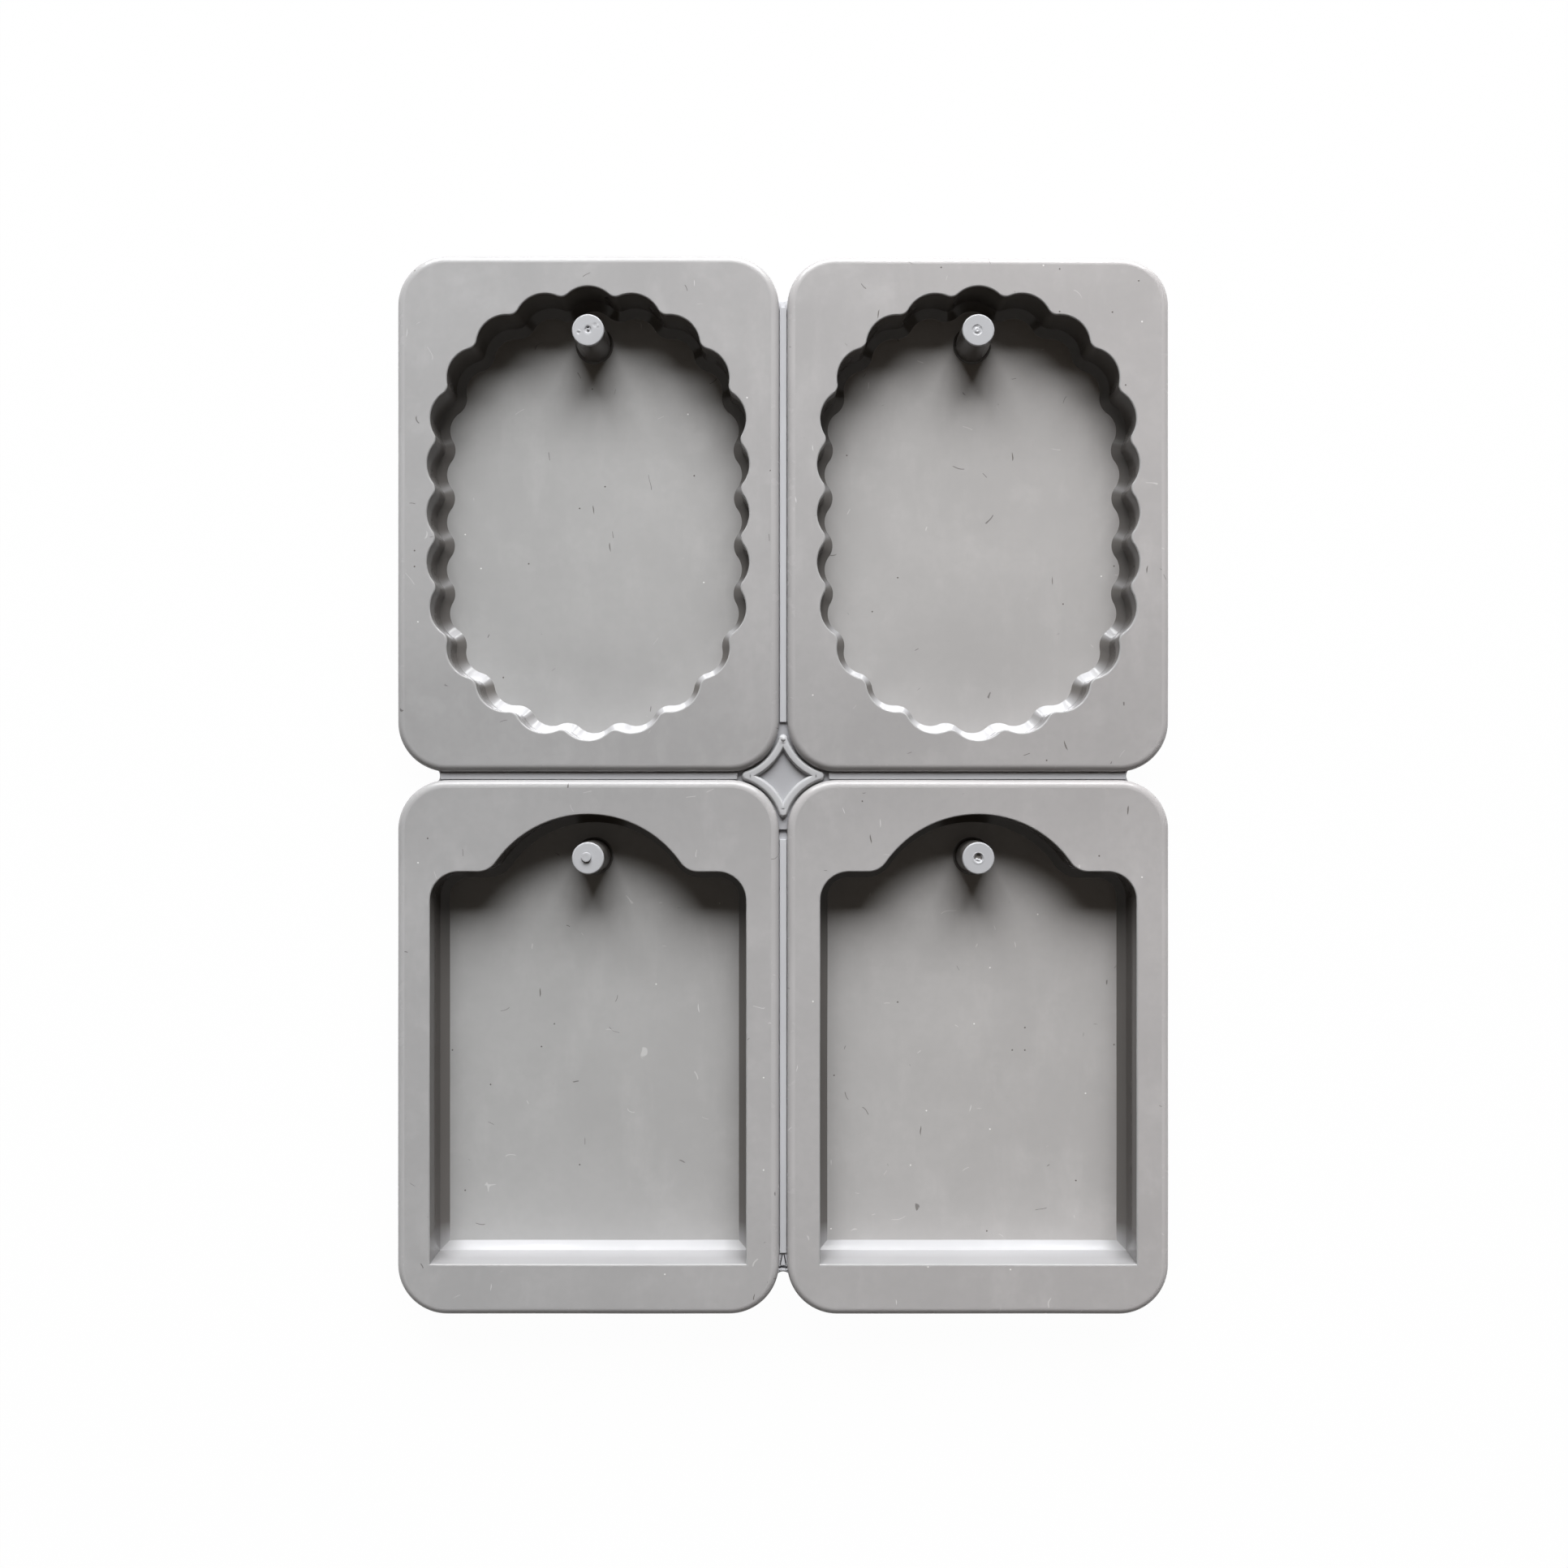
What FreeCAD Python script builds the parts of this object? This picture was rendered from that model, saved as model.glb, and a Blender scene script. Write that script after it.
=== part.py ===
import FreeCAD, Part
import math
import os
import Sketcher

# Flexible silicone mould with four casting trays: two scalloped ovals above two arched tablets.
# The trays hang together by thin webs that bend, with a star panel where the four corners meet.
# Frame: origin at the centre of the footprint on the resting plane, +Y towards the ovals, +Z up.

SIZES = {
    "block_width": 88.1,
    "oval_block_length": 119.1,
    "arched_block_length": 123.4,
    "block_gap": 1.8,
    "corner_radius": 11.5,
    "rim_chamfer": 1.1,
    "collar_height": 5.0,
    "skirt_draft": 2.8,
    "floor_thickness": 3.0,
    "floor_bevel": 2.0,
    "wall_depth": 10.0,
    "oval_side_rim": 6.6,
    "oval_end_rim": 7.0,
    "lobe_count": 24,
    "lobe_radius": 7.4,
    "cusp_radius": 2.0,
    "pitch_line_inset": 3.95,
    "arched_side_rim": 7.15,
    "arched_head_rim": 7.7,
    "arched_foot_rim": 11.5,
    "arch_radius": 26.3,
    "arch_rise": 13.2,
    "arch_foot_radius": 4.7,
    "shoulder_radius": 7.0,
    "pin_diameter": 7.4,
    "pin_inset": 10.4,
    "pin_edge_chamfer": 0.3,
    "dimple_diameter": 2.6,
    "dimple_depth": 0.3,
    "nub_diameter": 1.2,
    "nub_height": 0.3,
    "nipple_diameter": 2.0,
    "nipple_height": 0.6,
    "web_thickness": 1.5,
    "tab_reach": 3.2,
    "notch_depth": 1.0,
    "strip_height": 1.5,
    "lower_strip_inset": 2.3,
    "side_strip_overrun": 1.8,
    "star_rib_offset": 0.7,
    "star_rib_width": 1.9,
    "star_rib_height": 1.0,
    "star_rib_chamfer": 0.45,
    "star_tip_radius": 0.7,
}

RIM_LEVEL = "(Sizes.floor_thickness + Sizes.floor_bevel + Sizes.wall_depth)"
WEB_LEVEL = f"({RIM_LEVEL} - Sizes.collar_height)"
CAVITY_DEPTH = "(Sizes.floor_bevel + Sizes.wall_depth)"
CROSS_Y = "((Sizes.arched_block_length - Sizes.oval_block_length) / 2)"
TRAY_X = "((Sizes.block_width + Sizes.block_gap) / 2)"
OVAL_TRAY_Y = f"({CROSS_Y} + (Sizes.block_gap + Sizes.oval_block_length) / 2)"
ARCHED_TRAY_Y = f"({CROSS_Y} - (Sizes.block_gap + Sizes.arched_block_length) / 2)"
OVAL_RADIUS = "(Sizes.block_width / 2 - Sizes.oval_side_rim)"
OVAL_APEX_Y = "(Sizes.oval_block_length / 2 - Sizes.oval_end_rim)"
OVAL_HALF_STRAIGHT = f"({OVAL_APEX_Y} - {OVAL_RADIUS})"
LOBE_LINE = f"({OVAL_RADIUS} - Sizes.lobe_radius)"
PITCH_RADIUS = f"({OVAL_RADIUS} - Sizes.pitch_line_inset)"
LOBE_PITCH = f"((2 * pi * {PITCH_RADIUS} + 4 * {OVAL_HALF_STRAIGHT}) / Sizes.lobe_count)"
ARCHED_HALF_WIDTH = "(Sizes.block_width / 2 - Sizes.arched_side_rim)"
ARCHED_FOOT_Y = "(Sizes.arched_foot_rim - Sizes.arched_block_length / 2)"
ARCHED_APEX_Y = "(Sizes.arched_block_length / 2 - Sizes.arched_head_rim)"
CORNER_REACH = "(Sizes.block_gap / 2 + Sizes.corner_radius)"
HORN_X = f"({CORNER_REACH} - sqrt(Sizes.corner_radius ^ 2 - Sizes.tab_reach ^ 2))"
RIB_OUTER_RADIUS = "(Sizes.corner_radius + Sizes.star_rib_offset)"
RIB_INNER_RADIUS = f"({RIB_OUTER_RADIUS} + Sizes.star_rib_width)"
NOTCH_RADIUS = f"(({HORN_X} ^ 2 + Sizes.notch_depth ^ 2) / (2 * Sizes.notch_depth))"

TOLERANCE = 1e-4

doc = FreeCAD.newDocument("SiliconeMould")
sheet = doc.addObject("Spreadsheet::Sheet", "Sizes")
for row, (alias, number) in enumerate(SIZES.items(), start=1):
    sheet.set(f"A{row}", alias.replace("_", " "))
    sheet.set(f"B{row}", str(number))
    sheet.setAlias(f"B{row}", alias)
doc.recompute()


def value(expression):
    """The number that an expression on the sheet gives."""
    result = sheet.evalExpression(expression)
    return float(getattr(result, "Value", result))


def point(x, y):
    return FreeCAD.Vector(x, y, 0)


def new_body(label, x="0", y="0", z="0", turn=0):
    """A body placed by expressions, turned about the vertical."""
    body = doc.addObject("PartDesign::Body", label)
    body.Label = label
    body.Placement = FreeCAD.Placement(FreeCAD.Vector(), FreeCAD.Rotation(FreeCAD.Vector(0, 0, 1), turn))
    for axis, place in zip("xyz", (x, y, z)):
        body.setExpression(f"Placement.Base.{axis}", place)
    return body


def new_sketch(body, name, level="0"):
    """A sketch on the body's own horizontal plane, raised to a level."""
    sketch = body.newObject("Sketcher::SketchObject", name)
    plane = next(f for f in body.Origin.OriginFeatures if f.Role == "XY_Plane")
    sketch.AttachmentSupport = [(plane, "")]
    sketch.MapMode = "FlatFace"
    sketch.setExpression("AttachmentOffset.Base.z", level)
    return sketch


def bind(sketch, size, kind, *refs):
    """Adds a dimension whose size is an expression on the sheet."""
    index = sketch.addConstraint(Sketcher.Constraint(kind, *refs, value(size)))
    sketch.setExpression(f"Constraints[{index}]", size)


def constrain(sketch, kind, *refs):
    sketch.addConstraint(Sketcher.Constraint(kind, *refs))


def close_outline(sketch, edges, smooth=(), first=0):
    """Adds edges that follow one another round a closed outline, joined where their ends meet.

    The join after an edge whose place in the outline is listed in smooth is tangent."""
    sketch.addGeometry(edges, False)
    count = len(edges)
    for i in range(count):
        here, after = first + i, first + (i + 1) % count
        a, b = min(
            ((p, q) for p in (1, 2) for q in (1, 2)),
            key=lambda ends: sketch.getPoint(here, ends[0]).distanceToPoint(sketch.getPoint(after, ends[1])),
        )
        constrain(sketch, "Tangent" if i in smooth else "Coincident", here, a, after, b)


def polygon(points):
    return [Part.LineSegment(a, b) for a, b in zip(points, points[1:] + points[:1])]


def arc_about(centre, radius, from_degrees, to_degrees):
    """The arc about a centre that runs anticlockwise between two directions."""
    circle = Part.Circle(centre, FreeCAD.Vector(0, 0, 1), radius)
    return Part.ArcOfCircle(circle, math.radians(from_degrees), math.radians(to_degrees))


def rounded_rectangle(sketch, width, length, radius):
    """A rectangle about the origin with round corners, its sizes bound to expressions."""
    half_w, half_l, r = value(width) / 2, value(length) / 2, value(radius)
    inner_w, inner_l = half_w - r, half_l - r
    edges = [
        Part.LineSegment(point(half_w, -inner_l), point(half_w, inner_l)),
        arc_about(point(inner_w, inner_l), r, 0, 90),
        Part.LineSegment(point(inner_w, half_l), point(-inner_w, half_l)),
        arc_about(point(-inner_w, inner_l), r, 90, 180),
        Part.LineSegment(point(-half_w, inner_l), point(-half_w, -inner_l)),
        arc_about(point(-inner_w, -inner_l), r, 180, 270),
        Part.LineSegment(point(-inner_w, -half_l), point(inner_w, -half_l)),
        arc_about(point(inner_w, -inner_l), r, 270, 360),
    ]
    close_outline(sketch, edges, smooth=range(len(edges)))
    for upright, level in ((0, 2), (4, 6)):
        constrain(sketch, "Vertical", upright)
        constrain(sketch, "Horizontal", level)
    for corner in (3, 7):
        constrain(sketch, "Equal", 1, corner)
    constrain(sketch, "Symmetric", 1, 3, 5, 3, -1, 1)
    bind(sketch, radius, "Radius", 1)
    bind(sketch, f"{width} / 2", "DistanceX", -1, 1, 0, 1)
    bind(sketch, f"{length} / 2", "DistanceY", -1, 1, 2, 1)


def pad(body, sketch, name, length, downwards=False, draft=None):
    feature = body.newObject("PartDesign::Pad", name)
    feature.Profile = sketch
    feature.Reversed = downwards
    feature.setExpression("Length", length)
    if draft:
        feature.setExpression("TaperAngle", draft)
    doc.recompute()
    return feature


def pocket(body, sketch, name, depth):
    """A pocket that goes down from the sketch, and is checked to have cut something."""
    before = body.Shape.Volume
    feature = body.newObject("PartDesign::Pocket", name)
    feature.Profile = sketch
    feature.setExpression("Length", depth)
    doc.recompute()
    if body.Shape.Volume > before - TOLERANCE:
        raise RuntimeError(f"{name} cut nothing")
    return feature


def edge_names(shape, wanted):
    return [f"Edge{i}" for i, edge in enumerate(shape.Edges, start=1) if wanted(edge)]


def at_level(level):
    """A test for edges that lie wholly at one height."""
    def wanted(edge):
        box = edge.BoundBox
        return abs(box.ZMin - level) < TOLERANCE and abs(box.ZMax - level) < TOLERANCE
    return wanted


def chamfer(body, name, wanted, size):
    """A chamfer on the edges of the body so far that pass a test."""
    base = body.Tip
    feature = body.newObject("PartDesign::Chamfer", name)
    feature.Base = (base, edge_names(base.Shape, wanted))
    feature.setExpression("Size", size)
    doc.recompute()
    return feature


def tray_block(label, side, length, y):
    """A plain block: a collar with upright sides over a skirt that narrows to the foot."""
    body = new_body(label, x=f"{side} * {TRAY_X}", y=y)
    outline = new_sketch(body, f"{label}_outline", level=WEB_LEVEL)
    rounded_rectangle(outline, "Sizes.block_width", length, "Sizes.corner_radius")
    pad(body, outline, f"{label}_collar", "Sizes.collar_height")
    pad(body, outline, f"{label}_skirt", WEB_LEVEL, downwards=True, draft="-Sizes.skirt_draft")
    chamfer(body, f"{label}_rim_edge", at_level(value(RIM_LEVEL)), "Sizes.rim_chamfer")
    return body


def sink_cavity(body, label, outline):
    """The cavity of one outline, with a slope between its wall and its floor, all round."""
    sketch = new_sketch(body, f"{label}_cavity_outline", level=RIM_LEVEL)
    outline(sketch)
    pocket(body, sketch, f"{label}_cavity", CAVITY_DEPTH)
    chamfer(body, f"{label}_bevel", at_level(value("Sizes.floor_thickness")), "Sizes.floor_bevel")


def slot_station(distance):
    """Where a distance round the pitch line falls, clockwise from the apex of the head.

    Gives the nearest point of the slot's centre line and the direction outwards from it."""
    radius, half_straight = value(PITCH_RADIUS), value(OVAL_HALF_STRAIGHT)
    quarter = math.pi / 2 * radius
    lap = 4 * (quarter + half_straight)
    side, run = (1, distance) if distance <= lap / 2 else (-1, lap - distance)
    if run < quarter:
        angle, base = run / radius, half_straight
    elif run < quarter + 2 * half_straight:
        angle, base = math.pi / 2, half_straight + quarter - run
    else:
        angle, base = (run - 2 * half_straight) / radius, -half_straight
    return point(0, base), point(side * math.sin(angle), math.cos(angle))


def scalloped_outline(sketch):
    """Round lobes evenly spaced round a slot, with a small arc tangent to both where two lobes meet."""
    lobe, cusp = value("Sizes.lobe_radius"), value("Sizes.cusp_radius")
    count = round(value("Sizes.lobe_count"))
    centres, peaks, tips, valleys = [], [], [], []
    for i in range(count):
        base, outwards = slot_station(i * value(LOBE_PITCH))
        centres.append(base + outwards * value(LOBE_LINE))
        peaks.append(centres[i] + outwards * lobe)
    for here, after in zip(centres, centres[1:] + centres[:1]):
        across = (after - here) / 2
        outwards = point(-across.y, across.x).normalize()
        tips.append(here + across + outwards * math.sqrt((lobe + cusp) ** 2 - across.Length**2))
        valleys.append(tips[-1] - outwards * cusp)
    edges = []
    for i in range(count):
        after = (i + 1) % count
        entry = centres[i] + (tips[i - 1] - centres[i]).normalize() * lobe
        leave = centres[i] + (tips[i] - centres[i]).normalize() * lobe
        following = centres[after] + (tips[i] - centres[after]).normalize() * lobe
        edges += [Part.Arc(entry, peaks[i], leave), Part.Arc(leave, valleys[i], following)]
    close_outline(sketch, edges, smooth=range(len(edges)))
    for i in range(1, count):
        constrain(sketch, "Equal", 0, 2 * i)
        constrain(sketch, "Equal", 1, 2 * i + 1)
    bind(sketch, "Sizes.lobe_radius", "Radius", 0)
    bind(sketch, "Sizes.cusp_radius", "Radius", 1)


def oval_tray(label, side):
    body = tray_block(label, side, "Sizes.oval_block_length", OVAL_TRAY_Y)
    sink_cavity(body, label, scalloped_outline)
    return body


def arched_outline(sketch):
    """A round head on square shoulders: arch, hollow foot, shoulder and straight sides."""
    half = value(ARCHED_HALF_WIDTH)
    foot_y, apex_y = value(ARCHED_FOOT_Y), value(ARCHED_APEX_Y)
    arch, hollow = value("Sizes.arch_radius"), value("Sizes.arch_foot_radius")
    shoulder, shoulder_y = value("Sizes.shoulder_radius"), apex_y - value("Sizes.arch_rise")
    arch_y = apex_y - arch
    hollow_y = shoulder_y + hollow
    hollow_x = math.sqrt((arch + hollow) ** 2 - (hollow_y - arch_y) ** 2)
    lean = math.degrees(math.atan2(hollow_y - arch_y, hollow_x))
    edges = [
        Part.LineSegment(point(-half, foot_y), point(half, foot_y)),
        Part.LineSegment(point(half, foot_y), point(half, shoulder_y - shoulder)),
        arc_about(point(half - shoulder, shoulder_y - shoulder), shoulder, 0, 90),
        Part.LineSegment(point(half - shoulder, shoulder_y), point(hollow_x, shoulder_y)),
        arc_about(point(hollow_x, hollow_y), hollow, 180 + lean, 270),
        arc_about(point(0, arch_y), arch, lean, 180 - lean),
        arc_about(point(-hollow_x, hollow_y), hollow, 270, 360 - lean),
        Part.LineSegment(point(-hollow_x, shoulder_y), point(shoulder - half, shoulder_y)),
        arc_about(point(shoulder - half, shoulder_y - shoulder), shoulder, 90, 180),
        Part.LineSegment(point(-half, shoulder_y - shoulder), point(-half, foot_y)),
    ]
    close_outline(sketch, edges, smooth=range(1, len(edges) - 1))
    constrain(sketch, "Horizontal", 3)
    constrain(sketch, "Horizontal", 7)
    constrain(sketch, "Vertical", 1)
    constrain(sketch, "Vertical", 9)
    constrain(sketch, "Horizontal", 3, 1, 7, 2)
    constrain(sketch, "Equal", 2, 8)
    constrain(sketch, "Equal", 4, 6)
    constrain(sketch, "Symmetric", 0, 1, 0, 2, -2)
    constrain(sketch, "PointOnObject", 5, 3, -2)
    bind(sketch, "Sizes.shoulder_radius", "Radius", 2)
    bind(sketch, "Sizes.arch_foot_radius", "Radius", 4)
    bind(sketch, "Sizes.arch_radius", "Radius", 5)
    bind(sketch, f"2 * {ARCHED_HALF_WIDTH}", "DistanceX", 0, 1, 0, 2)
    bind(sketch, ARCHED_FOOT_Y, "DistanceY", -1, 1, 0, 2)
    bind(sketch, f"{ARCHED_APEX_Y} - Sizes.arch_rise", "DistanceY", -1, 1, 3, 1)
    bind(sketch, f"{ARCHED_APEX_Y} - Sizes.arch_radius", "DistanceY", -1, 1, 5, 3)


def arched_tray(label, side):
    body = tray_block(label, side, "Sizes.arched_block_length", ARCHED_TRAY_Y)
    sink_cavity(body, label, arched_outline)
    return body


def disc(body, name, diameter, level="0"):
    """A sketch of one circle about the body's axis."""
    sketch = new_sketch(body, name, level)
    sketch.addGeometry(Part.Circle(point(0, 0), FreeCAD.Vector(0, 0, 1), value(diameter) / 2), False)
    constrain(sketch, "Coincident", 0, 3, -1, 1)
    bind(sketch, diameter, "Diameter", 0)
    return sketch


def hole_pin(label, side, tray_y, apex_y, mark):
    """A post on the cavity's floor, level with the rim, with the mark that its vent left on top."""
    y = f"{tray_y} + {apex_y} - Sizes.pin_inset"
    body = new_body(label, x=f"{side} * {TRAY_X}", y=y, z="Sizes.floor_thickness")
    pad(body, disc(body, f"{label}_outline", "Sizes.pin_diameter"), f"{label}_post", CAVITY_DEPTH)
    chamfer(body, f"{label}_edge", at_level(value(CAVITY_DEPTH)), "Sizes.pin_edge_chamfer")
    if mark == "nipple":
        foot = disc(body, f"{label}_nipple_outline", "Sizes.nipple_diameter", CAVITY_DEPTH)
        pad(body, foot, f"{label}_nipple", "Sizes.nipple_height")
        return body
    mouth = disc(body, f"{label}_dimple_outline", "Sizes.dimple_diameter", CAVITY_DEPTH)
    pocket(body, mouth, f"{label}_dimple", "Sizes.dimple_depth")
    if mark == "nub":
        low = f"{CAVITY_DEPTH} - Sizes.dimple_depth"
        foot = disc(body, f"{label}_nub_outline", "Sizes.nub_diameter", low)
        pad(body, foot, f"{label}_nub", "Sizes.nub_height")
    return body


def web(label, turn, block_length):
    """A thin web from the star outwards: straight between the blocks, then flared to a round notch."""
    body = new_body(label, y=CROSS_Y, z=WEB_LEVEL, turn=turn)
    sketch = new_sketch(body, f"{label}_outline")
    half, r = value("Sizes.block_gap") / 2, value("Sizes.corner_radius")
    straight_end = f"({CORNER_REACH} + {block_length} - 2 * Sizes.corner_radius)"
    start, end, reach = value(CORNER_REACH), value(straight_end), value("Sizes.tab_reach")
    flare = math.degrees(math.asin(reach / r))
    horn_x = value(HORN_X)
    notch = point(0, end + reach - value("Sizes.notch_depth"))
    edges = [
        Part.LineSegment(point(-half, start), point(half, start)),
        Part.LineSegment(point(half, start), point(half, end)),
        arc_about(point(half + r, end), r, 180 - flare, 180),
        Part.Arc(point(horn_x, end + reach), notch, point(-horn_x, end + reach)),
        arc_about(point(-half - r, end), r, 0, flare),
        Part.LineSegment(point(-half, end), point(-half, start)),
    ]
    close_outline(sketch, edges, smooth=(1, 4))
    constrain(sketch, "Vertical", 1)
    constrain(sketch, "Vertical", 5)
    constrain(sketch, "Symmetric", 0, 1, 0, 2, -2)
    constrain(sketch, "Horizontal", 1, 2, 5, 1)
    constrain(sketch, "Horizontal", 3, 1, 3, 2)
    constrain(sketch, "Equal", 2, 4)
    bind(sketch, "Sizes.block_gap", "DistanceX", 0, 1, 0, 2)
    bind(sketch, CORNER_REACH, "DistanceY", -1, 1, 0, 2)
    bind(sketch, straight_end, "DistanceY", -1, 1, 1, 2)
    bind(sketch, "Sizes.tab_reach", "DistanceY", 1, 2, 3, 1)
    bind(sketch, "Sizes.corner_radius", "Radius", 2)
    bind(sketch, NOTCH_RADIUS, "Radius", 3)
    pad(body, sketch, f"{label}_sheet", "Sizes.web_thickness")
    return body


def strip(label, turn, start, end):
    """The raised strip that lies on a web, as wide as the gap."""
    body = new_body(label, y=CROSS_Y, z=f"{WEB_LEVEL} + Sizes.web_thickness", turn=turn)
    sketch = new_sketch(body, f"{label}_outline")
    half, low, high = value("Sizes.block_gap") / 2, value(start), value(end)
    corners = [point(-half, low), point(half, low), point(half, high), point(-half, high)]
    close_outline(sketch, polygon(corners))
    constrain(sketch, "Vertical", 1)
    constrain(sketch, "Vertical", 3)
    constrain(sketch, "Horizontal", 2)
    constrain(sketch, "Symmetric", 0, 1, 0, 2, -2)
    bind(sketch, "Sizes.block_gap", "DistanceX", 0, 1, 0, 2)
    bind(sketch, start, "DistanceY", -1, 1, 0, 2)
    bind(sketch, end, "DistanceY", -1, 1, 2, 1)
    pad(body, sketch, f"{label}_bar", "Sizes.strip_height")
    return body


def star_arcs(radius, lean):
    """Four hollow arcs about the blocks' corner centres, one per quarter, in order round the star."""
    reach = value(CORNER_REACH)
    arcs = []
    for turn in (0, 90, 180, 270):
        centre = FreeCAD.Rotation(FreeCAD.Vector(0, 0, 1), turn) * point(reach, reach)
        arcs.append(arc_about(centre, radius, turn + 180 + lean, turn + 270 - lean))
    return arcs


def fix_star(sketch, radius, first=0, step=1):
    """Ties four hollow arcs of one radius to the blocks' corner centres."""
    arcs = [first + step * i for i in range(4)]
    for arc in arcs[1:]:
        constrain(sketch, "Equal", arcs[0], arc)
    bind(sketch, radius, "Radius", arcs[0])
    for arc, (x, y) in zip(arcs, ((1, 1), (-1, 1), (-1, -1), (1, -1))):
        bind(sketch, f"{x} * {CORNER_REACH}", "DistanceX", -1, 1, arc, 3)
        bind(sketch, f"{y} * {CORNER_REACH}", "DistanceY", -1, 1, arc, 3)


def lean_of(distance):
    """How far a corner's arc stops short of its quarter where it comes to a point this far away."""
    return math.degrees(math.acos(value(CORNER_REACH) / distance))


def star_web():
    """The panel between the four inner corners, cut off square where the webs begin."""
    body = new_body("star_web", y=CROSS_Y, z=WEB_LEVEL)
    sketch = new_sketch(body, "star_web_outline")
    arcs = star_arcs(value("Sizes.corner_radius"), 0)
    edges = []
    for arc, following in zip(arcs, arcs[1:] + arcs[:1]):
        edges += [arc, Part.LineSegment(arc.StartPoint, following.EndPoint)]
    close_outline(sketch, edges)
    fix_star(sketch, "Sizes.corner_radius", step=2)
    for line, side in ((1, 1), (5, -1)):
        constrain(sketch, "Horizontal", line)
        bind(sketch, f"{side} * {CORNER_REACH}", "DistanceY", -1, 1, line, 1)
    for line, side in ((3, -1), (7, 1)):
        constrain(sketch, "Vertical", line)
        bind(sketch, f"{side} * {CORNER_REACH}", "DistanceX", -1, 1, line, 1)
    pad(body, sketch, "star_web_sheet", "Sizes.web_thickness")
    return body


def star_rib():
    """The raised outline on the star panel, parallel to the corners, with round tips outside."""
    body = new_body("star_rib", y=CROSS_Y, z=f"{WEB_LEVEL} + Sizes.web_thickness")
    sketch = new_sketch(body, "star_rib_outline")
    reach, tip = value(CORNER_REACH), value("Sizes.star_tip_radius")
    outer, inner = value(RIB_OUTER_RADIUS), value(RIB_INNER_RADIUS)
    tip_x = reach - math.sqrt((outer + tip) ** 2 - reach**2)
    lean = lean_of(outer + tip)
    edges = []
    for turn, arc in zip((0, 90, 180, 270), star_arcs(outer, lean)):
        centre = FreeCAD.Rotation(FreeCAD.Vector(0, 0, 1), turn) * point(tip_x, 0)
        edges += [arc_about(centre, tip, turn - 90 + lean, turn + 90 - lean), arc]
    close_outline(sketch, edges, smooth=range(len(edges)))
    fix_star(sketch, RIB_OUTER_RADIUS, first=1, step=2)
    for end in (2, 4, 6):
        constrain(sketch, "Equal", 0, end)
    bind(sketch, "Sizes.star_tip_radius", "Radius", 0)
    close_outline(sketch, star_arcs(inner, lean_of(inner)), first=len(edges))
    fix_star(sketch, RIB_INNER_RADIUS, first=len(edges))
    pad(body, sketch, "star_rib_ridge", "Sizes.star_rib_height")
    chamfer(body, "star_rib_crest", at_level(value("Sizes.star_rib_height")), "Sizes.star_rib_chamfer")
    return body


bodies = []
for hand, side in (("left", -1), ("right", 1)):
    bodies.append(oval_tray(f"oval_tray_{hand}", side))
    bodies.append(arched_tray(f"arched_tray_{hand}", side))
for label, side, tray_y, apex_y, mark in (
    ("oval_pin_left", -1, OVAL_TRAY_Y, OVAL_APEX_Y, "nub"),
    ("oval_pin_right", 1, OVAL_TRAY_Y, OVAL_APEX_Y, "nub"),
    ("arched_pin_left", -1, ARCHED_TRAY_Y, ARCHED_APEX_Y, "nipple"),
    ("arched_pin_right", 1, ARCHED_TRAY_Y, ARCHED_APEX_Y, "dimple"),
):
    bodies.append(hole_pin(label, side, tray_y, apex_y, mark))
for name, turn, block_length, inset in (
    ("upper", 0, "Sizes.oval_block_length", "0"),
    ("left", 90, "Sizes.block_width", "-Sizes.side_strip_overrun"),
    ("lower", 180, "Sizes.arched_block_length", "Sizes.lower_strip_inset"),
    ("right", 270, "Sizes.block_width", "-Sizes.side_strip_overrun"),
):
    start = f"({CORNER_REACH} + {inset})"
    end = f"({CORNER_REACH} + {block_length} - 2 * Sizes.corner_radius - {inset})"
    bodies.append(web(f"{name}_web", turn, block_length))
    bodies.append(strip(f"{name}_strip", turn, start, end))
bodies += [star_web(), star_rib()]

doc.recompute()
for item in doc.Objects:
    if "Invalid" in item.State or "Error" in item.State:
        raise RuntimeError(f"{item.Label} failed: {item.State}")
for body in bodies:
    if body.Shape.isNull() or not body.Shape.isValid() or len(body.Shape.Solids) != 1:
        raise RuntimeError(f"{body.Label} is not one valid solid")

os.makedirs("parts", exist_ok=True)
for body in bodies:
    body.Shape.exportStep(f"parts/{body.Label}.step")
    print(f"{body.Label}: {body.Shape.Volume:.1f} mm3")
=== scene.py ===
import math

import bmesh
import bpy
from mathutils import Matrix, Vector, noise


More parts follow.
